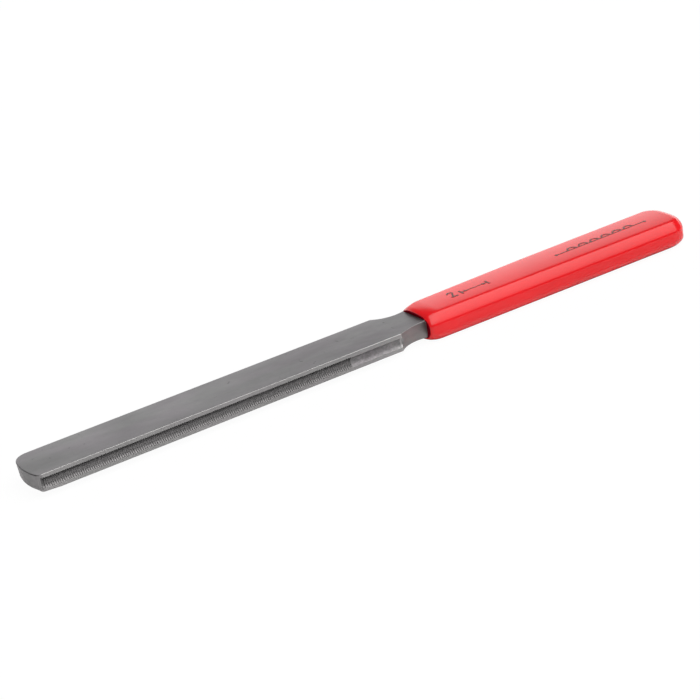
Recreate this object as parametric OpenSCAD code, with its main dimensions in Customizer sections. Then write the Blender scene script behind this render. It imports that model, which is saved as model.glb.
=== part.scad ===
// Crowning file: a flat steel bar with a toothed hollow along each narrow edge, and a push-on plastic sleeve.
// Frame: X along the file with the tip at the low end, Y across the width, Z up, underside of the sleeve at Z = 0.
// Lengths are in millimetres.

/* [Blade] */
// Width of the bar across the two narrow edges
blade_width = 12; // [11.5:0.5:14]
// Thickness of the bar
blade_thickness = 4; // [3.6:0.1:4.2]
// Length from the tip to the shoulder
blade_length = 87.5; // [60:0.5:120]
// Radius of the shallow curve across the tip
tip_radius = 18; // [14:1:60]
// Radius of the two corners of the tip
tip_corner_radius = 1.5; // [0.6:0.1:2]
// Bevel along the upper edge of the tip
tip_bevel_upper = 0.2; // [0.1:0.05:0.4]
// Bevel along the lower edge of the tip
tip_bevel_lower = 0.5; // [0.1:0.05:0.6]

/* [Edge groove] */
// Radius of the hollow along each narrow edge
groove_radius = 1.35; // [1.25:0.05:1.5]
// Depth of the hollow below the narrow edge
groove_depth = 0.54; // [0.4:0.02:0.6]
// Distance from one tooth to the next
tooth_pitch = 0.48; // [0.4:0.02:2]
// Depth of the gullet between two teeth
tooth_depth = 0.12; // [0.05:0.01:0.15]
// Uncut length of the hollow in front of the shoulder
plain_length = 13; // [8:0.5:30]

/* [Waist and tang] */
// Width of the bar at the narrowest point of the waist
waist_width = 7.7; // [7:0.1:8]
// Radius of the two hollows that form the waist
waist_radius = 7.4; // [7:0.1:8]
// Width of the tang inside the sleeve
tang_width = 9.2; // [8.6:0.1:9.4]
// Length of the tang inside the sleeve
tang_length = 67; // [40:0.5:67]

/* [Sleeve] */
// Length of the sleeve
sleeve_length = 71.9; // [71:0.1:90]
// Width of the sleeve at its closed end
sleeve_width = 13.8; // [13.4:0.1:16]
// Width of the sleeve just behind its mouth
sleeve_mouth_width = 12.7; // [12.5:0.1:13.4]
// Thickness of the sleeve
sleeve_thickness = 6.8; // [6.4:0.1:7.4]
// Width of the sloping facet along each long edge
facet = 2.15; // [1.8:0.05:2.3]
// Rounding of the edges of the facet
facet_rounding = 0.9; // [0.4:0.1:1.2]
// Radius of the corners of the sleeve seen from above
corner_radius = 5; // [4.8:0.1:5.4]
// Distance from the shoulder of the blade to the mouth
shoulder_gap = 7.4; // [7:0.1:9]

/* [Printed marks] */
// Height of the ink above the sleeve
ink_height = 0.05; // [0.03:0.01:0.1]
// Width of the printed strokes
stroke = 0.42; // [0.3:0.02:0.5]

/* [Hidden] */
overlap = 1;
total_length = blade_length + shoulder_gap + sleeve_length;
tip_x = -total_length / 2;
shoulder_x = tip_x + blade_length;
mouth_x = shoulder_x + shoulder_gap;
end_x = mouth_x + sleeve_length;
mid_z = sleeve_thickness / 2;
top_z = sleeve_thickness;

blade_half = blade_width / 2;
waist_centre_y = waist_width / 2 + waist_radius;
waist_x = shoulder_x + sqrt(pow(waist_radius, 2) - pow(waist_centre_y - blade_half, 2));

tip_centre_x = tip_x + tip_radius;
tip_corner_y = blade_half - tip_corner_radius;
tip_corner_reach = tip_radius - tip_corner_radius;
tip_corner_x = tip_centre_x - sqrt(pow(tip_corner_reach, 2) - pow(tip_corner_y, 2));
// Half the angle that the tip bevels cover, a little past both corners
tip_bevel_half_sweep = asin(blade_half / (tip_radius - 2));

groove_axis_y = blade_half + groove_radius - groove_depth;
tooth_end_x = shoulder_x - plain_length;
tooth_count = floor((tooth_end_x - tip_corner_x) / tooth_pitch);
tooth_start_x = tooth_end_x - tooth_count * tooth_pitch;
// Share of the pitch taken by the steep front of a tooth, which faces the tip
tooth_front = 0.25;

nose_set_back = 1.8;
core_lap = 0.4;
post_proud = 0.01;
nose_x = mouth_x + nose_set_back;
tail_x = end_x - corner_radius;
nose_y = sleeve_mouth_width / 2 - corner_radius;
tail_y = sleeve_width / 2 - corner_radius;
flank_angle = atan((tail_y - nose_y) / (tail_x - nose_x));
flank_length = norm([tail_x - nose_x, tail_y - nose_y]);

lip_radius = 4;
lip_centre_x = mouth_x + 1.9;
// Measured up from the mid-plane of the sleeve
lip_centre_height = mid_z - 3.85;

hollow_half_height = 2.35;
hollow_half_width = 5.4;
hollow_length = 3.4;
tang_end_x = mouth_x + tang_length;
cavity_end_gap = 1;

size_mark_x = mouth_x + 9.4;
numeral_height = 3;
numeral_radius = 0.85;
numeral_lap = 0.1;
numeral_gap = 1.1;
span_length = 7.4;
arrow_length = 1.3;
arrow_half_width = 0.46;
ornament_x = mouth_x + 38.5;
ornament_length = 25;
base_line = 0.26;
arch_radius = 1.35;
arch_pitch = 3.2;
arch_count = 6;
first_arch_x = (ornament_length - (arch_count - 1) * arch_pitch) / 2;
diamond = 0.7;

steel_colour = [0.50, 0.50, 0.51];
sleeve_colour = [0.86, 0.10, 0.11];
ink_colour = [0.22, 0.17, 0.17];
$fn = 96;

// ---- blade and tang ----

module tip_outline() {
    for (side = [-1, 1])
        translate([tip_corner_x, side * tip_corner_y])
            circle(r = tip_corner_radius);
    intersection() {
        translate([tip_centre_x, 0])
            circle(r = tip_radius, $fn = 360);
        polygon([
            [tip_centre_x, 0],
            corner_ray(-1),
            corner_ray(1)
        ]);
    }
}

// A point beyond the tip on the line from the centre of the tip curve through the centre of a corner
function corner_ray(side) =
    [tip_centre_x, 0] + 2 * [tip_corner_x - tip_centre_x, side * tip_corner_y];

module bar_outline() {
    difference() {
        union() {
            translate([tip_corner_x, -blade_half])
                square([waist_x - tip_corner_x, blade_width]);
            translate([waist_x - overlap, -tang_width / 2])
                square([tang_end_x - waist_x + overlap, tang_width]);
            tip_outline();
        }
        for (side = [-1, 1])
            translate([waist_x, side * waist_centre_y])
                circle(r = waist_radius, $fn = 180);
    }
}

// Ring of triangular section that takes the corner off one edge of the tip
module tip_bevel(size, up) {
    reach = size + overlap;
    translate([tip_centre_x, 0, mid_z])
        mirror([0, 0, up ? 0 : 1])
            translate([0, 0, blade_thickness / 2])
                rotate([0, 0, 180 - tip_bevel_half_sweep])
                    rotate_extrude(angle = 2 * tip_bevel_half_sweep, $fn = 360)
                        polygon([
                            [tip_radius - reach, overlap],
                            [tip_radius + overlap, -reach],
                            [tip_radius + overlap, overlap]
                        ]);
}

// Outline of the rod that cuts one groove: x along the rod, y its radius
function tooth_points() = [
    for (i = [0 : tooth_count - 1])
        for (step = [[0, tooth_depth], [tooth_front, 0]])
            [tooth_start_x + (i + step[0]) * tooth_pitch, groove_radius + step[1]]
];

module groove_rod() {
    rod_start_x = tip_x - overlap;
    rotate([0, 90, 0])
        rotate_extrude($fn = 48)
            rotate([0, 0, 90])
                polygon(concat(
                    [[rod_start_x, 0], [rod_start_x, groove_radius]],
                    tooth_points(),
                    [[tooth_end_x, groove_radius + tooth_depth], [tooth_end_x, groove_radius]],
                    [[waist_x, groove_radius], [waist_x, 0]]
                ));
}

module blade_and_tang() {
    color(steel_colour)
        difference() {
            translate([0, 0, mid_z - blade_thickness / 2])
                linear_extrude(blade_thickness)
                    bar_outline();
            for (side = [-1, 1])
                translate([0, side * groove_axis_y, mid_z])
                    groove_rod();
            tip_bevel(tip_bevel_upper, true);
            tip_bevel(tip_bevel_lower, false);
        }
}

// ---- sleeve ----

// Half section of the sleeve: x is the distance out from the spine, y the height above mid-plane
module half_section() {
    facet_low = mid_z - facet;
    side_cut = facet_rounding * tan(22.5);
    slope_cut = side_cut * sqrt(0.5);
    polygon([
        [0, -mid_z],
        [corner_radius - facet - side_cut, -mid_z],
        [corner_radius - facet + slope_cut, -mid_z + slope_cut],
        [corner_radius - slope_cut, -facet_low - slope_cut],
        [corner_radius, -facet_low + side_cut],
        [corner_radius, facet_low - side_cut],
        [corner_radius - slope_cut, facet_low + slope_cut],
        [corner_radius - facet + slope_cut, mid_z - slope_cut],
        [corner_radius - facet - side_cut, mid_z],
        [0, mid_z]
    ]);
    for (side = [-1, 1]) {
        translate([corner_radius - facet_rounding, side * (facet_low - side_cut)])
            circle(r = facet_rounding);
        translate([corner_radius - facet - side_cut, side * (mid_z - facet_rounding)])
            circle(r = facet_rounding);
    }
}

// Half section carried along one edge of the spine, on the right-hand side of its heading
module flank(start, heading, length) {
    translate([start[0], start[1], 0])
        rotate([0, 0, heading])
            rotate([90, 0, 90])
                mirror([1, 0])
                    linear_extrude(length)
                        half_section();
}

// Post with the half section all round, a hair larger than the flanks that meet it
module corner_post(x, y) {
    translate([x, y, 0])
        rotate_extrude()
            translate([post_proud, 0])
                half_section();
}

// A rounded long shape: a flat core, a flank along three edges of the core and a post at each of its corners.
// The core reaches past the axes of the posts, and at the front past the mouth, where the posts are cut away.
module sleeve_body() {
    core_nose_y = nose_y + core_lap;
    core_front_x = mouth_x - overlap / 2;
    linear_extrude(sleeve_thickness, center = true)
        polygon([
            [core_front_x, -core_nose_y],
            [nose_x, -core_nose_y],
            [tail_x, -tail_y - core_lap],
            [tail_x + core_lap, -tail_y],
            [tail_x + core_lap, tail_y],
            [tail_x, tail_y + core_lap],
            [nose_x, core_nose_y],
            [core_front_x, core_nose_y]
        ]);
    for (side = [0, 1])
        mirror([0, side, 0]) {
            flank([tail_x, tail_y], flank_angle + 180, flank_length);
            corner_post(nose_x, nose_y);
            corner_post(tail_x, tail_y);
        }
    flank([tail_x, -tail_y], 90, 2 * tail_y);
}

// Takes the sharp outer edge off the mouth, above and below
module lip_relief() {
    for (side = [-1, 1])
        mirror([0, 0, side < 0 ? 1 : 0])
            rotate([90, 0, 0])
                linear_extrude(sleeve_width, center = true)
                    difference() {
                        translate([mouth_x - overlap, lip_centre_height + overlap])
                            square([lip_centre_x - mouth_x, sleeve_thickness]);
                        translate([lip_centre_x, lip_centre_height])
                            circle(r = lip_radius);
                    }
}

// The open mouth, then the slot that grips the tang, with a small air gap at its blind end
module cavity() {
    rotate([90, 0, 90]) {
        translate([0, 0, mouth_x - overlap])
            linear_extrude(hollow_length + overlap) {
                for (side = [-1, 1])
                    translate([side * (hollow_half_width - hollow_half_height), 0])
                        circle(r = hollow_half_height);
                square([2 * (hollow_half_width - hollow_half_height), 2 * hollow_half_height],
                    center = true);
            }
        translate([0, 0, mouth_x])
            linear_extrude(tang_length + cavity_end_gap)
                square([tang_width, blade_thickness], center = true);
    }
}

module handle_sleeve() {
    color(sleeve_colour)
        translate([0, 0, mid_z])
            difference() {
                sleeve_body();
                translate([mouth_x - corner_radius - overlap, -sleeve_width / 2, -sleeve_thickness])
                    cube([corner_radius + overlap, sleeve_width, 2 * sleeve_thickness]);
                lip_relief();
                cavity();
            }
}

// ---- printed marks ----

// Strip of ink with its lower left corner at a point
module ink_bar(corner, size) {
    translate([corner[0], corner[1], 0])
        cube([size[0], size[1], ink_height]);
}

// Upper half of a ring of ink
module ink_arch(centre, radius) {
    translate([centre[0], centre[1], 0])
        rotate_extrude(angle = 180)
            translate([radius - stroke, 0])
                square([stroke, ink_height]);
}

// A plain figure two with its lower left corner at the origin
module numeral_two() {
    crown_y = numeral_height - numeral_radius;
    ink_arch([numeral_radius, crown_y], numeral_radius);
    linear_extrude(ink_height)
        polygon([
            [2 * numeral_radius - stroke, crown_y + numeral_lap],
            [2 * numeral_radius - numeral_lap, crown_y + numeral_lap],
            [2 * numeral_radius - numeral_lap, crown_y - numeral_lap],
            [1.5 * stroke, stroke / 2],
            [numeral_lap, stroke / 2]
        ]);
    ink_bar([0, 0], [2 * numeral_radius, stroke]);
}

// Arrow head pointing left, with its tip at a point
module arrow_head(tip) {
    translate([tip[0], tip[1], 0])
        linear_extrude(ink_height)
            polygon([[0, 0], [arrow_length, -arrow_half_width], [arrow_length, arrow_half_width]]);
}

// A dimension arrow between two end bars
module width_arrow() {
    bar_height = numeral_height * 0.62;
    for (left = [0, span_length - stroke])
        ink_bar([left, 0], [stroke, bar_height]);
    ink_bar([stroke / 2, bar_height / 2 - stroke / 4], [span_length - stroke, stroke / 2]);
    arrow_head([stroke / 2, bar_height / 2]);
    translate([span_length, 0, 0])
        mirror([1, 0, 0])
            arrow_head([stroke / 2, bar_height / 2]);
}

module size_mark_ink() {
    color(ink_colour)
        translate([size_mark_x, -numeral_height / 2, top_z]) {
            numeral_two();
            translate([2 * numeral_radius + numeral_gap, 0, 0])
                width_arrow();
        }
}

// A plain row of arches on a base line, closed by a small diamond at each end
module ornament_ink() {
    color(ink_colour)
        translate([ornament_x, -arch_radius / 2, top_z]) {
            ink_bar([0, 0], [ornament_length, base_line]);
            for (i = [0 : arch_count - 1])
                ink_arch([first_arch_x + i * arch_pitch, base_line / 2], arch_radius);
            for (end = [0, ornament_length])
                translate([end, base_line / 2, 0])
                    rotate([0, 0, 45])
                        translate([-diamond / 2, -diamond / 2, 0])
                            cube([diamond, diamond, ink_height]);
        }
}

blade_and_tang();
handle_sleeve();
size_mark_ink();
ornament_ink();
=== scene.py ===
"""Looks of the crowning file: ground steel blade with cut edge grooves, red sleeve, printed marks.

Lengths are in millimetres until a mesh or the camera is made. X runs along the file from the tip to the
closed end of the sleeve, Y across it with the edge that the photo shows at the low side, and Z up."""

import math

import bmesh
import bpy
from mathutils import Matrix, Vector


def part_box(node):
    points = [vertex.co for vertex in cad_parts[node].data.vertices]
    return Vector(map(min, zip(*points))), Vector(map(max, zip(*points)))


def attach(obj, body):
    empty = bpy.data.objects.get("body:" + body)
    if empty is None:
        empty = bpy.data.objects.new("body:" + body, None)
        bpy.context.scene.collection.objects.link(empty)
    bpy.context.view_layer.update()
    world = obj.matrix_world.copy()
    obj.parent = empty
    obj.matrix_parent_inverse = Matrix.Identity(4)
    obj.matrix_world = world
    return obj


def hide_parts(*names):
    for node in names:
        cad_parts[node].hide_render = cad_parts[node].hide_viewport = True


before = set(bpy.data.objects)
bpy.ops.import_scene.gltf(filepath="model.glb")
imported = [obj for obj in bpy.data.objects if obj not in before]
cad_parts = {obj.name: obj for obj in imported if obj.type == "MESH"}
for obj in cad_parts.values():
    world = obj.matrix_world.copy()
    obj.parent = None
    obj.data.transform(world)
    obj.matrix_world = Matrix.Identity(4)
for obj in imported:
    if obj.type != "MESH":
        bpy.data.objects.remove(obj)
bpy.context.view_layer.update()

MM = 0.001

# ---- shared places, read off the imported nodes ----

BLADE_LOW, BLADE_HIGH = (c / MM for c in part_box("blade_and_tang"))
SLEEVE_LOW, SLEEVE_HIGH = (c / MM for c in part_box("handle_sleeve"))
TIP_X = BLADE_LOW.x
MOUTH_X = SLEEVE_LOW.x
END_X = SLEEVE_HIGH.x
MID_Z = (SLEEVE_LOW.z + SLEEVE_HIGH.z) / 2
BLADE_HALF_WIDTH = BLADE_HIGH.y
BLADE_HALF_THICKNESS = (BLADE_HIGH.z - BLADE_LOW.z) / 2
# The sleeve is drawn in a little, so that it stays inside the box of the CAD
CLEARANCE_Z = 0.002
CLEARANCE_Y = 0.02
SLEEVE_HALF_THICKNESS = (SLEEVE_HIGH.z - SLEEVE_LOW.z) / 2 - CLEARANCE_Z
SLEEVE_HALF_WIDTH = SLEEVE_HIGH.y

# ---- blade: tip, edges and waist ----

SHOULDER_X = MOUTH_X - 7.4
SHOULDER_BAND = 0.35
# The tip is one shallow curve with its apex off the middle, and two corners: far (1) and near (-1)
TIP_RADIUS = 16.0
TIP_APEX_Y = -1.0
TIP_CORNER_RADIUS = {1: 3.6, -1: 1.2}
# Bevels over and under the tip, and how far its end leans back towards the bottom
TIP_BEVEL_TOP = 0.2
TIP_BEVEL_BOTTOM = 0.85
TIP_BEVEL_BOTTOM_IN = 0.95
TIP_LEAN = 0.4
# What is left of them where the corner ends, and how far along the side they fade out
TIP_FADE_SHARE = 0.45
TIP_FADE_LENGTH = 3.5
# Edges are rounded, and a row of points beside each rounding holds the flat faces flat
EDGE_ROUND = 0.1
HOLD = 0.06
WAIST_HALF_WIDTH = 3.85
WAIST_RADIUS = 7.4
# On the near side the top of the waist is less scooped than its bottom, by this share
WAIST_SWELL = 0.65
TANG_HALF_WIDTH = 4.6
TANG_END_X = MOUTH_X + 67.0

# Grooves along the edges, and the teeth in them
GROOVE_RADIUS = 1.35
GROOVE_AXIS_Y = BLADE_HALF_WIDTH + 0.81
# So small a radius leaves next to no groove. The groove begins where the tip's outline has turned this far
GROOVE_NONE = 0.82
GROOVE_START_ANGLE = 1.45
TOOTH_PITCH = 0.48
TOOTH_DEPTH = 0.12
TOOTH_FRONT = 0.25
TOOTH_END_X = SHOULDER_X - 13.0
TOOTH_END_STEP = 0.02

# Stations along each part of the outline
TIP_STEPS = 24
CORNER_STEPS = 14
PLAIN_STEPS = 11
WAIST_STEPS = 48

# Points of one station, numbered from the top face down to the bottom face
ROUND_STEPS = 3
GROOVE_STEPS = 20
GROOVE_FIRST = ROUND_STEPS + 3
GROOVE_LAST = GROOVE_FIRST + GROOVE_STEPS
POINT_COUNT = GROOVE_LAST + ROUND_STEPS + 4
# Points that take painted light: highlights on the rounded edges and the lands, and shade under the tip's
# top edge
HIGHLIGHT_POINTS = (2, 3, GROOVE_LAST + 3, GROOVE_LAST + 4)
TIP_SHADE_POINTS = (2, 3, 4)
LAND_POINTS = (GROOVE_FIRST - 2, GROOVE_FIRST - 1, GROOVE_FIRST, GROOVE_LAST, GROOVE_LAST + 1)

# Tones for the steel, which paint light and shade into its colour: 1 is a painted highlight at full, -1 is
# painted shade at its darkest
SHOULDER_TONE = 0.75
WAIST_TONE = 0.3
PLAIN_EDGE_TONE = 1.0
TOOTHED_EDGE_TONE = 0.65
LAND_TONE = 0.3

STRAIGHT_OUT = (0.0, 1.0)
BLADE_SHARP_DEGREES = 28

# ---- sleeve ----

CORNER_RADIUS = 5.0
END_BULGE = 0.04
TAIL_X = END_X - CORNER_RADIUS - END_BULGE
# It widens evenly from here behind the mouth, where it has this half width, to the closed end
NOSE_SET_BACK = 1.8
NOSE_HALF_WIDTH = 6.35
# Facets along the four long edges: how far in they reach over the face, and how far down the side
FACET_IN_FAR = 1.8
FACET_IN_NEAR = 1.45
FACET_IN_LOW = 1.8
FACET_IN_LOW_GROWTH = 0.4
FACET_DOWN = 2.35
FACET_DOWN_LOW = 1.75
FACET_ROUND_TOP = 0.85
FACET_ROUND_SIDE = 1.9
FACET_BULGE = math.radians(6)
# The far side narrows towards the mouth
FAR_TRIM = 0.85
FAR_TRIM_LENGTH = 34.0
FAR_TRIM_POWER = 1.2
FAR_TRIM_RIM = 0.55
# (inset, height) of the round edges of the closed end
END_ROUND_TOP = (2.6, 2.8)
END_ROUND_LOW = (1.6, 2.0)
# Share of the thickness that the faces fall away towards the sides
CROWN = 0.077
# The nose runs into a squarish oval rim round the mouth
NOSE_LENGTH = 3.8
RIM_HALF_WIDTH = 6.0
RIM_HALF_HEIGHT = 3.0
RIM_POWER = 2.5
RIM_ROUND = 0.45
RIM_LONG = 1.1
# The opening is shallow and closed at its inner end. The tang runs on through that end, out of sight,
# and overlaps the sleeve from there on
HOLLOW_HALF_WIDTH = 4.6
HOLLOW_HALF_HEIGHT = 2.06
HOLLOW_POWER = 8.0
HOLLOW_LENGTH = 3.4
# (depth behind the mouth, scale across, scale up) of its rings, from the inner end out to the flared edge
HOLLOW_RINGS = [(HOLLOW_LENGTH, 0.6, 0.6), (HOLLOW_LENGTH, 1.0, 1.0), (1.2, 1.0, 1.0), (0.08, 1.0, 1.0),
                (0.02, 1.005, 1.01), (0.0, 1.015, 1.03)]

# Points across a section, then rings along the sleeve
ROUNDING_STEPS = 8
FACET_STEPS = 4
FACE_STEPS = 16
LIP_STEPS = 6
NOSE_STEPS = 24
SIDE_STEPS = 40
TAIL_CORNER_STEPS = 20
TAIL_END_STEPS = 5

SLEEVE_SHARP_DEGREES = 50


# ---- mesh helpers ----

# In metres
MERGE_DISTANCE = 1e-7
EMPTY_LENGTH = 1e-8


def make_mesh(name, points, faces, sharp_degrees, tones=None):
    """A mesh object from points in millimetres, with points that coincide merged.
    The tones, one to a point, go to its material."""
    mesh = bpy.data.meshes.new(name)
    mesh.from_pydata([Vector(p) * MM for p in points], [], faces)
    if tones:
        mesh.attributes.new("tone", "FLOAT", "POINT").data.foreach_set("value", tones)
    obj = bpy.data.objects.new(name, mesh)
    bpy.context.scene.collection.objects.link(obj)
    work = bmesh.new()
    work.from_mesh(mesh)
    bmesh.ops.remove_doubles(work, verts=work.verts, dist=MERGE_DISTANCE)
    bmesh.ops.dissolve_degenerate(work, edges=work.edges, dist=EMPTY_LENGTH)
    bmesh.ops.recalc_face_normals(work, faces=work.faces)
    work.to_mesh(mesh)
    work.free()
    mesh.polygons.foreach_set("use_smooth", [True] * len(mesh.polygons))
    mesh.set_sharp_from_angle(angle=math.radians(sharp_degrees))
    return obj


def quads_between(first, second):
    """Quads joining two rows of point numbers of the same length."""
    return [
        (first[i], first[i + 1], second[i + 1], second[i])
        for i in range(len(first) - 1)
    ]


# ---- blade ----

def tip_stations(side):
    """The x where the tip's corner ends, and the outline up to it: the shallow curve, then the corner."""
    corner = TIP_CORNER_RADIUS[side]
    half = BLADE_HALF_WIDTH - side * TIP_APEX_Y
    centre_x = TIP_X + TIP_RADIUS
    reach = TIP_RADIUS - corner
    meet = math.asin((half - corner) / reach)
    corner_x = centre_x - reach * math.cos(meet)
    out = []
    for i in range(TIP_STEPS + 1):
        a = meet * i / TIP_STEPS
        out.append((centre_x - TIP_RADIUS * math.cos(a), TIP_RADIUS * math.sin(a), a, 1.0))
    for i in range(1, CORNER_STEPS + 1):
        a = meet + (math.pi / 2 - meet) * i / CORNER_STEPS
        share = 1.0 - (1 - TIP_FADE_SHARE) * i / CORNER_STEPS
        out.append((corner_x - corner * math.cos(a), half - corner + corner * math.sin(a), a, share))
    return corner_x, [
        (x, side * TIP_APEX_Y + y, (-math.cos(a), math.sin(a)),
         GROOVE_RADIUS if a > GROOVE_START_ANGLE else GROOVE_NONE, share)
        for x, y, a, share in out
    ]


def toothed_stations(corner_x):
    """The straight edge from the tip's corner to the end of the teeth, with two stations to a tooth."""
    count = int((TOOTH_END_X - corner_x) / TOOTH_PITCH)
    start = TOOTH_END_X - count * TOOTH_PITCH
    out = []
    for i in range(count):
        for x, radius in ((start + i * TOOTH_PITCH, GROOVE_RADIUS + TOOTH_DEPTH),
                          (start + (i + TOOTH_FRONT) * TOOTH_PITCH, GROOVE_RADIUS)):
            share = TIP_FADE_SHARE * max(0.0, 1 - (x - corner_x) / TIP_FADE_LENGTH)
            out.append((x, BLADE_HALF_WIDTH, STRAIGHT_OUT, radius, share))
    out.append((TOOTH_END_X, BLADE_HALF_WIDTH, STRAIGHT_OUT, GROOVE_RADIUS + TOOTH_DEPTH, 0.0))
    out.append((TOOTH_END_X + TOOTH_END_STEP, BLADE_HALF_WIDTH, STRAIGHT_OUT, GROOVE_RADIUS, 0.0))
    return out


def plain_stations():
    """The straight edge beside the plain part of the groove, up to just before the shoulder."""
    places = [TOOTH_END_X + (SHOULDER_X - TOOTH_END_X) * i / PLAIN_STEPS for i in range(1, PLAIN_STEPS)]
    places.append(SHOULDER_X - SHOULDER_BAND)
    return [(x, BLADE_HALF_WIDTH, STRAIGHT_OUT, GROOVE_RADIUS, 0.0) for x in places]


def waist_stations():
    """The shoulder, the scooped waist and the end of the tang."""
    centre_y = WAIST_HALF_WIDTH + WAIST_RADIUS
    spread = math.acos((centre_y - BLADE_HALF_WIDTH) / WAIST_RADIUS)
    tang_spread = math.acos((centre_y - TANG_HALF_WIDTH) / WAIST_RADIUS)
    waist_x = SHOULDER_X + WAIST_RADIUS * math.sin(spread)
    mitre = (math.sin(spread) / (1 + math.cos(spread)), 1.0)
    out = [(SHOULDER_X, BLADE_HALF_WIDTH, mitre, GROOVE_RADIUS, 0.0)]
    for i in range(1, WAIST_STEPS + 1):
        a = -spread + (spread + tang_spread) * i / WAIST_STEPS
        out.append((waist_x + WAIST_RADIUS * math.sin(a), centre_y - WAIST_RADIUS * math.cos(a),
                    (-math.sin(a), math.cos(a)), GROOVE_RADIUS, 0.0))
    out.append((TANG_END_X, TANG_HALF_WIDTH, (1.0, 1.0), GROOVE_RADIUS, 0.0))
    return out


def blade_stations(side):
    """Outline of one half of the blade, from the tip's apex to the end of the tang. A station is (x,
    distance from the long axis, outward normal, groove radius, share of the tip's bevels)."""
    corner_x, tip = tip_stations(side)
    return tip + toothed_stations(corner_x) + plain_stations() + waist_stations()


def waist_swell(x, y):
    """How far the top edge of the waist stands out beyond its scooped lower edge."""
    if not SHOULDER_X < x < MOUTH_X:
        return 0.0
    centre_y = WAIST_HALF_WIDTH + WAIST_RADIUS
    waist_x = SHOULDER_X + math.sqrt(WAIST_RADIUS ** 2 - (centre_y - BLADE_HALF_WIDTH) ** 2)
    mouth_y = centre_y - math.sqrt(WAIST_RADIUS ** 2 - (MOUTH_X - waist_x) ** 2)
    along = (x - SHOULDER_X) / (MOUTH_X - SHOULDER_X)
    straight = BLADE_HALF_WIDTH + (mouth_y - BLADE_HALF_WIDTH) * along
    return WAIST_SWELL * (straight - y)


def station_levels(radius, tip_share):
    """(inset, height over the middle) of one station's points, from the top face to the bottom face."""
    top = EDGE_ROUND + (TIP_BEVEL_TOP - EDGE_ROUND) * tip_share
    bottom = EDGE_ROUND + (TIP_BEVEL_BOTTOM - EDGE_ROUND) * tip_share
    bottom_in = EDGE_ROUND + (TIP_BEVEL_BOTTOM_IN - EDGE_ROUND) * tip_share
    h = BLADE_HALF_THICKNESS
    edge = math.sqrt(radius ** 2 - (GROOVE_AXIS_Y - BLADE_HALF_WIDTH) ** 2)
    turn = [math.pi / 2 * k / ROUND_STEPS for k in range(ROUND_STEPS + 1)]
    levels = [(top + HOLD, h)]
    levels += [(top * (1 - math.sin(a)), h - top * (1 - math.cos(a))) for a in turn]
    levels += [(0.0, h - top - HOLD)]
    levels += [(0.0, edge * math.cos(math.pi * k / GROOVE_STEPS)) for k in range(GROOVE_STEPS + 1)]
    levels += [(0.0, -h + bottom + HOLD)]
    levels += [(bottom_in * (1 - math.cos(a)), -h + bottom * (1 - math.sin(a))) for a in turn]
    levels += [(bottom_in + HOLD, -h)]
    return levels


def station_tones(x, tip_share):
    """Tones of one station's points: painted highlights on the edges and lands, and a painted dark line of
    shade under the tip's top edge.
    """
    tones = [SHOULDER_TONE if x == SHOULDER_X else 0.0] * POINT_COUNT
    if x > SHOULDER_X:
        edge_tone = WAIST_TONE
    else:
        edge_tone = PLAIN_EDGE_TONE if x > TOOTH_END_X else TOOTHED_EDGE_TONE
    # Painted highlight along the rounded edges
    for k in HIGHLIGHT_POINTS:
        tones[k] = edge_tone
    # Painted shade under the tip's top edge; elsewhere before the shoulder, a painted highlight on the
    # lands
    if tip_share > TIP_FADE_SHARE:
        for k in TIP_SHADE_POINTS:
            tones[k] = -(tip_share - TIP_FADE_SHARE) / (1 - TIP_FADE_SHARE)
    elif x < SHOULDER_X:
        for k in LAND_POINTS:
            tones[k] = LAND_TONE
    return tones


def blade_ring(side, x, y, normal, radius, tip_share):
    """Points and tones of one station of the blade."""
    h = BLADE_HALF_THICKNESS
    swell = waist_swell(x, y) if side < 0 else 0.0
    points = []
    for inset, z in station_levels(radius, tip_share):
        back = inset + TIP_LEAN * tip_share * (h - z) / (2 * h)
        px = x - normal[0] * back
        py = y - normal[1] * back + swell * (z + h) / (2 * h)
        if abs(z) < radius and inset == 0:
            py = min(py, GROOVE_AXIS_Y - math.sqrt(radius ** 2 - z ** 2))
        points.append((px, py, MID_Z + z))
    return points, station_tones(x, tip_share)


def build_blade():
    """The blade: rings of its two halves, joined at the tip and at the end of the tang, and closed by one
    face over the top and one under the bottom."""
    far = [blade_ring(1, *s) for s in blade_stations(1)]
    near = [([(x, -y, z) for x, y, z in ring], tones)
            for ring, tones in (blade_ring(-1, *s) for s in blade_stations(-1)[1:])]
    rings = far + near[::-1]
    points = [p for ring, _ in rings for p in ring]
    tones = [t for _, ring_tones in rings for t in ring_tones]
    rows = [list(range(i * POINT_COUNT, (i + 1) * POINT_COUNT)) for i in range(len(rings))]
    faces = []
    for a, b in zip(rows, rows[1:] + rows[:1]):
        faces += quads_between(a, b)
    faces.append([row[0] for row in rows])
    faces.append([row[-1] for row in rows])
    return make_mesh("steel_blade", points, faces, BLADE_SHARP_DEGREES, tones)


# ---- sleeve ----

def half_width(x):
    """Half width of the sleeve at x: it widens evenly from the nose to the closed end."""
    nose_x = MOUTH_X + NOSE_SET_BACK
    share = max(0.0, x - nose_x) / (TAIL_X - nose_x)
    return NOSE_HALF_WIDTH + (SLEEVE_HALF_WIDTH - CLEARANCE_Y - NOSE_HALF_WIDTH) * share


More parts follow.
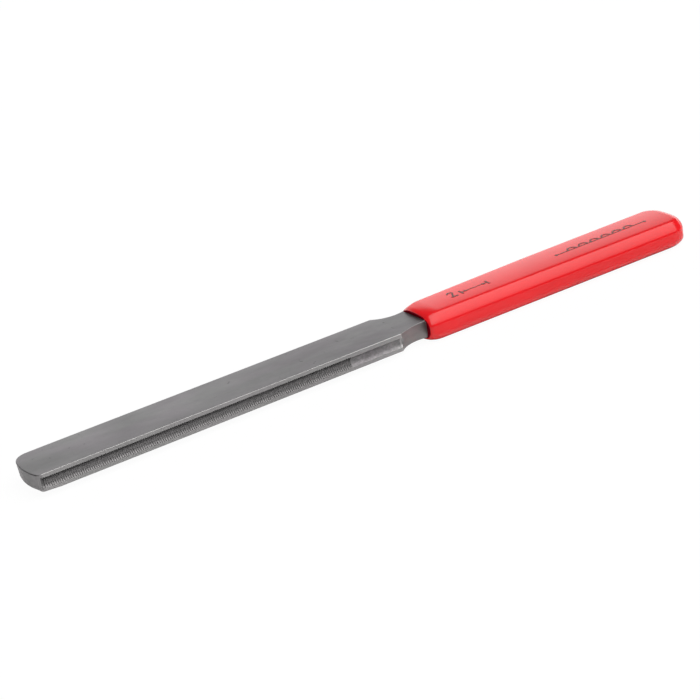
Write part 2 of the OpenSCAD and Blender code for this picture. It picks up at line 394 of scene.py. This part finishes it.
def facet_profile(facet_in, facet_down):
    """(inset, height) of one long edge of the sleeve, from mid-side to the flat face: the upright side, a
    rounding, the slightly bulging facet and a tighter rounding."""
    lean = math.atan2(facet_down, facet_in)
    low = lean + FACET_BULGE
    high = lean - FACET_BULGE
    wide = facet_in + FACET_ROUND_TOP * math.tan(lean / 2)
    wide -= FACET_ROUND_SIDE * (1 - math.sin(low)) + FACET_ROUND_TOP * math.sin(high)
    arcs = [(FACET_ROUND_SIDE, math.pi / 2, low, ROUNDING_STEPS),
            (wide / (math.sin(low) - math.sin(high)), low, high, FACET_STEPS),
            (FACET_ROUND_TOP, high, 0.0, ROUNDING_STEPS)]
    rise = sum(r * (math.cos(b) - math.cos(a)) for r, a, b, _ in arcs)
    upright = SLEEVE_HALF_THICKNESS - rise
    out = [(0.0, 0.0), (0.0, upright / 2), (0.0, upright)]
    for radius, start, end, steps in arcs:
        inset, z = out[-1]
        for i in range(1, steps + 1):
            tilt = start + (end - start) * i / steps
            out.append((inset + radius * (math.sin(start) - math.sin(tilt)),
                        z + radius * (math.cos(tilt) - math.cos(start))))
    return out


def edge_profile(facet_in, facet_down, end_round, softness):
    """The profile of one edge. A softness of 0 gives the facet of the long sides, 1 the round edge of the
    closed end."""
    profile = facet_profile(facet_in, facet_down)
    out = []
    for i, (inset, z) in enumerate(profile):
        turn = math.pi / 2 * max(0, i - 1) / (len(profile) - 2)
        round_z = (SLEEVE_HALF_THICKNESS - end_round[1]) * min(i, 1) + end_round[1] * math.sin(turn)
        round_inset = end_round[0] * (1 - math.cos(turn))
        out.append((inset + (round_inset - inset) * softness, z + (round_z - z) * softness))
    return out


def half_ring(far, near, in_far, in_near, down, end_round, softness):
    """Points over the top of the sleeve from the far mid-side to the near one."""
    out = [(*far(d), z) for d, z in edge_profile(in_far, down, end_round, softness)]
    back = [(*near(d), z) for d, z in edge_profile(in_near, down, end_round, softness)]
    back = [(x, -y, z) for x, y, z in reversed(back)]
    (x0, y0, z), (x1, y1, _) = out[-1], back[0]
    for k in range(1, FACE_STEPS):
        share = k / FACE_STEPS
        out.append((x0 + (x1 - x0) * share, y0 + (y1 - y0) * share, z))
    return out + back


def sleeve_section(far, near, along, softness=0.0):
    """Closed ring of points at one station. far(inset) and near(inset) give (x, distance from the middle),
    and along runs from 0 at the mouth to 1 at the closed end."""
    low_in = FACET_IN_LOW + FACET_IN_LOW_GROWTH * along
    top = half_ring(far, near, FACET_IN_FAR, FACET_IN_NEAR, FACET_DOWN, END_ROUND_TOP, softness)
    low = half_ring(far, near, low_in, low_in, FACET_DOWN_LOW, END_ROUND_LOW, softness)
    ring = top + [(x, y, -z) for x, y, z in reversed(low[1:-1])]
    return [(x, y, z * (1 - CROWN * (y / SLEEVE_HALF_WIDTH) ** 2)) for x, y, z in ring]


def on_oval(y, z, half_wide, half_high, power):
    """The point (y, z) carried straight out or in to a squarish oval."""
    reach = abs(y / half_wide) ** power + abs(z / half_high) ** power
    k = reach ** (-1 / power)
    return y * k, z * k


def nose_section(x):
    """Section at x in the nose or along the straight sides."""
    w = half_width(x)
    trim = FAR_TRIM * max(0.0, 1 - (x - MOUTH_X) / FAR_TRIM_LENGTH) ** FAR_TRIM_POWER
    along = (x - MOUTH_X) / (END_X - MOUTH_X)
    ring = sleeve_section(lambda inset: (x, w - trim - inset), lambda inset: (x, w - inset), along)
    gone = max(0.0, 1 - (x - MOUTH_X) / NOSE_LENGTH) ** 2
    out = []
    for _, y, z in ring:
        rim = RIM_HALF_WIDTH - (FAR_TRIM_RIM if y > 0 else 0.0)
        ry, rz = on_oval(y, z, rim, RIM_HALF_HEIGHT, RIM_POWER)
        out.append((x, y + (ry - y) * gone, z + (rz - z) * gone))
    return out


def shrink(ring, inset, x):
    """The ring moved in by inset on all sides and set at x."""
    wide = max(p[1] for p in ring)
    high = max(p[2] for p in ring)
    return [(x, y * (wide - inset) / wide, z * (high - inset) / high) for _, y, z in ring]


def opening_rings():
    """Rings of the opening, from its inner end out to the mouth."""
    first = nose_section(MOUTH_X + RIM_LONG)
    oval = [on_oval(y, z, HOLLOW_HALF_WIDTH, HOLLOW_HALF_HEIGHT, HOLLOW_POWER) for _, y, z in first]
    return [[(MOUTH_X + depth, y * wide, z * high) for y, z in oval] for depth, wide, high in HOLLOW_RINGS]


def lip_rings():
    """Rings of the rounded lip round the mouth."""
    out = []
    for i in range(LIP_STEPS + 1):
        a = math.pi / 2 * i / LIP_STEPS
        x = MOUTH_X + RIM_LONG * (1 - math.cos(a))
        out.append(shrink(nose_section(x), RIM_ROUND * (1 - math.sin(a)), x))
    return out


def side_rings():
    """Rings of the nose behind the lip, then of the straight sides."""
    nose_x = MOUTH_X + NOSE_LENGTH
    out = []
    for i in range(1, NOSE_STEPS + 1):
        x = MOUTH_X + RIM_LONG + (nose_x - MOUTH_X - RIM_LONG) * (i / NOSE_STEPS)
        out.append(nose_section(x))
    for i in range(1, SIDE_STEPS + 1):
        x = nose_x + (TAIL_X - nose_x) * i / SIDE_STEPS
        out.append(nose_section(x))
    return out


def tail_rings():
    """Rings round the two corners of the closed end and along its slightly bulging end."""
    spine_y = half_width(TAIL_X) - CORNER_RADIUS
    out = []
    for i in range(1, TAIL_CORNER_STEPS + 1):
        a = math.pi / 2 * i / TAIL_CORNER_STEPS

        def corner(inset, a=a):
            r = CORNER_RADIUS - inset
            return TAIL_X + r * math.sin(a), spine_y + r * math.cos(a)

        out.append(sleeve_section(corner, corner, 1.0, math.sin(a) ** 2))
    for i in range(1, TAIL_END_STEPS + 1):
        y = spine_y * (1 - i / TAIL_END_STEPS)

        def end(inset, y=y):
            return END_X - END_BULGE * (y / spine_y) ** 2 - inset, y

        out.append(sleeve_section(end, end, 1.0, 1.0))
    return out


def build_sleeve():
    """The sleeve: one skin of rings from the inner end of its opening, over the lip, to the closed end."""
    rings = opening_rings() + lip_rings() + side_rings() + tail_rings()
    size = len(rings[0])
    points = [(x, y, MID_Z + z) for ring in rings for x, y, z in ring]
    rows = [list(range(i * size, (i + 1) * size)) for i in range(len(rings))]
    faces = []
    for a, b in zip(rows, rows[1:]):
        faces += quads_between(a + a[:1], b + b[:1])
    faces.append(rows[0])
    return make_mesh("red_sleeve", points, faces, SLEEVE_SHARP_DEGREES)


# ---- materials ----

class Graph:
    """Short helpers to lay out a node tree."""

    def __init__(self, tree):
        self.tree = tree

    def node(self, kind, **values):
        """A new node with its own settings set by name."""
        n = self.tree.nodes.new(kind)
        for key, value in values.items():
            setattr(n, key, value)
        return n

    def link(self, a, b):
        self.tree.links.new(a, b)

    def math(self, operation, *values, clamp=False):
        """One arithmetic operation on sockets and numbers."""
        n = self.node("ShaderNodeMath", operation=operation, use_clamp=clamp)
        for i, v in enumerate(values):
            if isinstance(v, (int, float)):
                n.inputs[i].default_value = v
            else:
                self.link(v, n.inputs[i])
        return n.outputs[0]

    def noise(self, vector, scale, detail, roughness):
        """Noise with scale counted per metre."""
        n = self.node("ShaderNodeTexNoise")
        n.inputs["Scale"].default_value = scale
        n.inputs["Detail"].default_value = detail
        n.inputs["Roughness"].default_value = roughness
        self.link(vector, n.inputs["Vector"])
        return n.outputs["Fac"]

    def lengthwise(self, vector, share):
        """The place with its lengthwise part scaled down, which stretches a pattern along the file."""
        n = self.node("ShaderNodeMapping")
        n.inputs["Scale"].default_value = (share, 1.0, 1.0)
        self.link(vector, n.inputs["Vector"])
        return n.outputs["Vector"]

    def ramp(self, value, stops):
        """A straight ramp through (place, colour or grey) stops."""
        n = self.node("ShaderNodeValToRGB")
        stop = n.color_ramp.elements
        while len(stop) < len(stops):
            stop.new(0.5)
        for e, (place, colour) in zip(stop, stops):
            grey = isinstance(colour, (int, float))
            e.position = place
            e.color = (*((colour,) * 3 if grey else colour), 1.0)
        self.link(value, n.inputs["Fac"])
        return n.outputs["Color"]

    def mix(self, fac, a, b, mode="MIX"):
        """Two colours, each a socket or plain numbers, mixed by a share."""
        n = self.node("ShaderNodeMix", data_type="RGBA", blend_type=mode)
        for socket, v in ((n.inputs[0], fac), (n.inputs[6], a), (n.inputs[7], b)):
            if isinstance(v, (int, float)):
                socket.default_value = v
            elif isinstance(v, tuple):
                socket.default_value = (*v, 1.0)
            else:
                self.link(v, socket)
        return n.outputs[2]

    def multiply(self, a, b):
        """Two colours multiplied."""
        return self.mix(1.0, a, b, "MULTIPLY")

    def both(self, first, *more):
        """1 where every one of the masks is 1."""
        for mask in more:
            first = self.math("MULTIPLY", first, mask)
        return first


def new_material(name):
    """A material with its graph, its shader and the place in the frame, in metres."""
    material = bpy.data.materials.new(name)
    material.use_nodes = True
    graph = Graph(material.node_tree)
    shader = material.node_tree.nodes["Principled BSDF"]
    place = graph.node("ShaderNodeTexCoord").outputs["Object"]
    return material, graph, shader, place


def split(graph, place):
    """The place's three parts, by axis name."""
    n = graph.node("ShaderNodeSeparateXYZ")
    graph.link(place, n.inputs[0])
    return n.outputs


def bump(graph, shader, height, distance, strength):
    """Fine relief from a height, over a distance in metres."""
    n = graph.node("ShaderNodeBump")
    n.inputs["Strength"].default_value = strength
    n.inputs["Distance"].default_value = distance
    graph.link(height, n.inputs["Height"])
    graph.link(n.outputs["Normal"], shader.inputs["Normal"])


STEEL_DARK = (0.236, 0.229, 0.233)
STEEL_LIGHT = (0.316, 0.308, 0.313)
STEEL_PINKISH = (1.0, 0.965, 1.0)
STEEL_GREENISH = (0.985, 1.0, 0.99)
SCRATCH = (0.32, 0.315, 0.315)
PIT = (0.09, 0.085, 0.085)
# Painted shade and light in the toothed groove: dark under its top edge, light at its bottom, darker beside
# the tip
TEETH_PAINTED_SHADE_TOP = (0.10, 0.097, 0.10)
TEETH_PAINTED_LIGHT_BOTTOM = (0.36, 0.350, 0.355)
TEETH_PAINTED_SHADE_AT_TIP = (0.09, 0.088, 0.09)
# Painted highlight for the edges and lands, and painted shade for the line under the tip's top edge
EDGE_PAINTED_HIGHLIGHT = (0.62, 0.612, 0.612)
TIP_EDGE_PAINTED_SHADE = (0.05, 0.048, 0.05)
PLAIN_GROOVE_ROUGHNESS = (0.62, 0.62, 0.62)

# Where the groove's colours apply, in millimetres
GROOVE_REACH = 0.75
GROOVE_EDGE = 0.03
GROOVE_HALF_HEIGHT = 1.28
TEETH_FROM_TIP = 1.3
TEETH_SHADED_FROM_TIP = 2.0
# The height over which the painted shade on the teeth goes from dark to light, and the width over which the
# painted light on the steel brightens it
TEETH_SHADE_FADE = 2.2
FAR_PAINTED_LIGHT_FADE = 8


def ground_colour(g, place, mottle, streak):
    """Mottled grey in broad patches, with a slight change of hue, pale scratches and dark pits."""
    patch = g.noise(g.lengthwise(place, 0.5), 110.0, 3.0, 0.55)
    hue = g.noise(g.lengthwise(place, 0.4), 170.0, 2.0, 0.5)
    pits = g.noise(place, 700.0, 3.0, 0.55)
    base = g.ramp(mottle, [(0.30, STEEL_DARK), (0.70, STEEL_LIGHT)])
    base = g.multiply(base, g.ramp(patch, [(0.34, 0.83), (0.66, 1.13)]))
    base = g.multiply(base, g.ramp(hue, [(0.38, STEEL_PINKISH), (0.62, STEEL_GREENISH)]))
    base = g.mix(g.math("MULTIPLY", streak, 0.18), base, SCRATCH)
    return g.mix(g.ramp(pits, [(0.69, 0.0), (0.73, 0.5)]), base, PIT)


def groove_masks(g, axes, height):
    """Masks that are 1 in the toothed part of the two edge grooves, and in their plain part."""
    away = g.math("ABSOLUTE", axes["Y"])
    inside = g.math("LESS_THAN", away, (BLADE_HALF_WIDTH - GROOVE_EDGE) * MM)
    level = g.math("LESS_THAN", g.math("ABSOLUTE", height), GROOVE_HALF_HEIGHT * MM)
    before_end = g.math("LESS_THAN", axes["X"], (TOOTH_END_X + TOOTH_END_STEP / 2) * MM)
    past_tip = g.math("GREATER_THAN", axes["X"], (TIP_X + TEETH_FROM_TIP) * MM)
    near_edge = g.math("GREATER_THAN", away, (BLADE_HALF_WIDTH - GROOVE_REACH) * MM)
    past_teeth = g.math("SUBTRACT", 1.0, before_end)
    before_waist = g.math("LESS_THAN", axes["X"], SHOULDER_X * MM)
    cut = g.both(inside, level, before_end, past_tip, near_edge)
    plain = g.both(inside, level, past_teeth, before_waist)
    return cut, plain


def teeth_painted_shade(g, axes, height, grain):
    """Painted shade and light in the toothed groove: dark under the groove's top edge, light at its bottom,
    and darker again beside the tip.
    """
    low = g.math("MULTIPLY_ADD", height, -1 / (TEETH_SHADE_FADE * MM), 0.5, clamp=True)
    teeth = g.mix(low, TEETH_PAINTED_SHADE_TOP, TEETH_PAINTED_LIGHT_BOTTOM)
    teeth = g.multiply(teeth, g.ramp(grain, [(0.3, 0.8), (0.7, 1.2)]))
    tip_end = g.math("LESS_THAN", axes["X"], (TIP_X + TEETH_SHADED_FROM_TIP) * MM)
    return g.mix(g.math("MULTIPLY", tip_end, 0.4), teeth, TEETH_PAINTED_SHADE_AT_TIP)


def with_painted_edge_light(g, base, grain):
    """The colour with painted highlights on the edges and lands, and a painted dark line of shade under the
    top edge of the tip.
    """
    tone = g.node("ShaderNodeAttribute", attribute_name="tone").outputs["Fac"]
    highlight = g.math("MULTIPLY", g.math("MAXIMUM", tone, 0.0), g.math("ADD", grain, 0.5))
    base = g.mix(highlight, base, EDGE_PAINTED_HIGHLIGHT)
    return g.mix(g.math("MAXIMUM", g.math("MULTIPLY", tone, -0.8), 0.0), base, TIP_EDGE_PAINTED_SHADE)


def steel():
    """Ground steel: soft mottling, faint lengthwise scratches, a few dark pits, painted shade in the
    toothed groove, painted highlights on the edges and painted light towards the far edge.
    """
    material, g, shader, place = new_material("ground_steel")
    axes = split(g, place)
    height = g.math("SUBTRACT", axes["Z"], MID_Z * MM)
    mottle = g.noise(g.lengthwise(place, 0.6), 420.0, 4.0, 0.6)
    streak = g.noise(g.lengthwise(place, 0.02), 5200.0, 2.0, 0.5)
    grain = g.noise(place, 3800.0, 3.0, 0.6)
    cut, plain = groove_masks(g, axes, height)
    base = ground_colour(g, place, mottle, streak)
    speckle = g.ramp(g.noise(place, 1500.0, 3.0, 0.6), [(0.35, 0.84), (0.65, 1.18)])
    base = g.mix(plain, base, g.multiply(base, speckle))
    # Painted shade in the toothed groove
    base = g.mix(cut, base, teeth_painted_shade(g, axes, height, grain))
    # Painted light: a little brighter towards the far edge
    far = g.math("MULTIPLY_ADD", axes["Y"], 1 / (FAR_PAINTED_LIGHT_FADE * MM), 0.25, clamp=True)
    base = g.multiply(base, g.ramp(far, [(0.0, 1.0), (1.0, 1.16)]))
    g.link(with_painted_edge_light(g, base, grain), shader.inputs["Base Color"])
    shader.inputs["Metallic"].default_value = 1.0
    rough = g.mix(plain, g.ramp(mottle, [(0.3, 0.40), (0.7, 0.50)]), PLAIN_GROOVE_ROUGHNESS)
    g.link(rough, shader.inputs["Roughness"])
    relief = g.math("ADD", g.math("MULTIPLY", streak, 0.6), g.math("MULTIPLY", grain, 0.5))
    bump(g, shader, relief, 0.00001, 0.5)
    return material


RED_DARK = (0.87, 0.009, 0.014)
RED_LIGHT = (0.93, 0.011, 0.017)
# Painted shade for the end face round the mouth
RED_END_FACE_PAINTED_SHADE = (0.20, 0.003, 0.012)
# How far behind the mouth the end face's painted shade reaches
END_FACE_DEPTH = 0.09


def red_plastic():
    """Glossy vinyl with a faint orange-peel surface, dull on its end face at the mouth, where the colour is
    darkened as painted shade.
    """
    material, g, shader, place = new_material("red_vinyl")
    axes = split(g, place)
    cloud = g.noise(place, 90.0, 3.0, 0.5)
    peel = g.noise(place, 900.0, 2.0, 0.5)
    base = g.ramp(cloud, [(0.35, RED_DARK), (0.65, RED_LIGHT)])
    end_face = g.math("LESS_THAN", axes["X"], (MOUTH_X + END_FACE_DEPTH) * MM)
    # Painted shade on the end face at the mouth
    g.link(g.mix(end_face, base, RED_END_FACE_PAINTED_SHADE), shader.inputs["Base Color"])
    g.link(g.math("MULTIPLY_ADD", end_face, -0.5, 0.5), shader.inputs["Specular IOR Level"])
    shader.inputs["IOR"].default_value = 1.5
    g.link(g.ramp(cloud, [(0.3, 0.09), (0.7, 0.14)]), shader.inputs["Roughness"])
    bump(g, shader, peel, 0.00002, 0.15)
    return material


INK_DARK = (0.090, 0.036, 0.032)
INK_WORN = (0.23, 0.060, 0.054)


def ink():
    """Thin dark print with a slightly worn, uneven cover."""
    material, g, shader, place = new_material("print_ink")
    worn = g.noise(place, 2600.0, 3.0, 0.6)
    g.link(g.ramp(worn, [(0.35, INK_DARK), (0.68, INK_WORN)]), shader.inputs["Base Color"])
    g.link(g.ramp(worn, [(0.3, 0.35), (0.7, 0.6)]), shader.inputs["Roughness"])
    bump(g, shader, worn, 0.00001, 0.3)
    return material


# ---- stage ----

# In metres
FLOOR_HALF = 2.0
FLOOR_DROP = 0.00002
# What the camera sees: plain white with the faintest contact shade
FLOOR_GLOW = 0.96
FLOOR_SHADED = (0.05, 0.05, 0.05, 1.0)


def show_to_camera(graph, otherwise, shown, out):
    """One shader for the camera's own rays, another for all light and reflections."""
    chosen = graph.node("ShaderNodeMixShader")
    graph.link(graph.node("ShaderNodeLightPath").outputs["Is Camera Ray"], chosen.inputs[0])
    graph.link(otherwise, chosen.inputs[1])
    graph.link(shown, chosen.inputs[2])
    graph.link(chosen.outputs[0], out.inputs["Surface"])


def floor_material():
    """Pale matt floor that shows as plain white to the camera, with the faintest contact shade."""
    material, g, shader, place = new_material("pale_floor")
    shade = g.noise(place, 3.0, 2.0, 0.5)
    g.link(g.ramp(shade, [(0.3, 0.86), (0.7, 0.90)]), shader.inputs["Base Color"])
    shader.inputs["Roughness"].default_value = 0.9
    shader.inputs["Specular IOR Level"].default_value = 0.0
    glow = g.node("ShaderNodeEmission")
    glow.inputs["Strength"].default_value = FLOOR_GLOW
    shaded = g.node("ShaderNodeBsdfDiffuse")
    shaded.inputs["Color"].default_value = FLOOR_SHADED
    both = g.node("ShaderNodeAddShader")
    g.link(shaded.outputs[0], both.inputs[0])
    g.link(glow.outputs[0], both.inputs[1])
    show_to_camera(g, shader.outputs[0], both.outputs[0], material.node_tree.nodes["Material Output"])
    return material


def build_floor():
    """The floor, just under the file."""
    signs = [(-1, -1), (1, -1), (1, 1), (-1, 1)]
    corners = [(x * FLOOR_HALF, y * FLOOR_HALF, -FLOOR_DROP) for x, y in signs]
    mesh = bpy.data.meshes.new("floor")
    mesh.from_pydata(corners, [], [(0, 1, 2, 3)])
    floor = bpy.data.objects.new("floor", mesh)
    bpy.context.scene.collection.objects.link(floor)
    floor.data.materials.append(floor_material())


# Brightness of the studio by the angle about the file's long axis: 0 is the far horizon, 90 straight up
BACKDROP = [(0, 1.7), (18, 1.65), (25, 1.25), (30, 0.9), (34, 0.3), (40, 0.12), (180, 0.12)]
SOFTBOX = [(84, 0.0), (92, 2.5), (128, 2.7), (140, 2.3), (152, 1.3), (157, 0.05), (160, 0.0)]
# How the softbox fades towards its two ends, by the lengthwise part of the direction
SOFTBOX_ENDS = [(-0.35, 0.0), (-0.2, 1.0), (0.72, 1.0), (0.85, 0.0)]
SOFTBOX_TINT = (1.0, 0.995, 0.98)
# The ramps hold shares of this brightness, because they stop at 1
BRIGHTEST = 4.0


def build_world():
    """Soft studio light from a far backdrop and one large softbox. The camera itself sees plain white."""
    world = bpy.data.worlds.new("studio")
    bpy.context.scene.world = world
    world.use_nodes = True
    g = Graph(world.node_tree)
    back = world.node_tree.nodes["Background"]
    axes = split(g, g.node("ShaderNodeTexCoord").outputs["Generated"])
    share = g.math("DIVIDE", g.math("ARCTAN2", axes["Z"], axes["Y"]), math.pi)
    backdrop = g.ramp(share, [(a / 180, b / BRIGHTEST) for a, b in BACKDROP])
    softbox = g.ramp(share, [(a / 180, b / BRIGHTEST) for a, b in SOFTBOX])
    along = g.math("MULTIPLY", g.math("ADD", axes["X"], 1.0), 0.5)
    ends = g.ramp(along, [((a + 1) / 2, b) for a, b in SOFTBOX_ENDS])
    softbox = g.multiply(g.multiply(softbox, ends), SOFTBOX_TINT)
    g.link(g.mix(1.0, backdrop, softbox, "ADD"), back.inputs["Color"])
    back.inputs["Strength"].default_value = BRIGHTEST
    plain = g.node("ShaderNodeBackground")
    plain.inputs["Color"].default_value = (1, 1, 1, 1)
    plain.inputs["Strength"].default_value = 1.0
    show_to_camera(g, back.outputs[0], plain.outputs[0], world.node_tree.nodes["World Output"])


# Azimuth, elevation and roll in degrees
CAMERA_TURN = (29.7833, 22.7924, 8.8279)
CAMERA_PLACE = (-248.53, -424.93, 209.05)
CAMERA_LENS = 129.091
CAMERA_SENSOR = 36.0
# The nearest distance that the camera shows, in metres
CAMERA_CLIP = 0.01


def build_camera():
    """The camera, at the photo's angle."""
    azimuth, elevation, roll = map(math.radians, CAMERA_TURN)
    forward = Vector((math.sin(azimuth) * math.cos(elevation),
                      math.cos(azimuth) * math.cos(elevation), -math.sin(elevation)))
    level_right = forward.cross(Vector((0, 0, 1))).normalized()
    level_down = forward.cross(level_right)
    right = level_right * math.cos(roll) + level_down * math.sin(roll)
    up = right.cross(forward)
    turn = Matrix((right, up, -forward)).transposed().to_4x4()
    data = bpy.data.cameras.new("photo_camera")
    data.lens = CAMERA_LENS
    data.sensor_width = CAMERA_SENSOR
    data.clip_start = CAMERA_CLIP
    camera = bpy.data.objects.new("photo_camera", data)
    bpy.context.scene.collection.objects.link(camera)
    camera.matrix_world = Matrix.Translation(Vector(CAMERA_PLACE) * MM) @ turn
    bpy.context.scene.camera = camera


# ---- assembly ----

def dress(obj, material):
    """Gives a piece its material."""
    obj.data.materials.clear()
    obj.data.materials.append(material)


blade = build_blade()
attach(blade, "root")
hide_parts("blade_and_tang")
dress(blade, steel())

sleeve = build_sleeve()
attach(sleeve, "root")
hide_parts("handle_sleeve")
dress(sleeve, red_plastic())

print_ink = ink()
for name in ("size_mark_ink", "ornament_ink"):
    dress(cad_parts[name], print_ink)

build_floor()
build_world()
build_camera()
bpy.context.scene.view_settings.view_transform = "Standard"
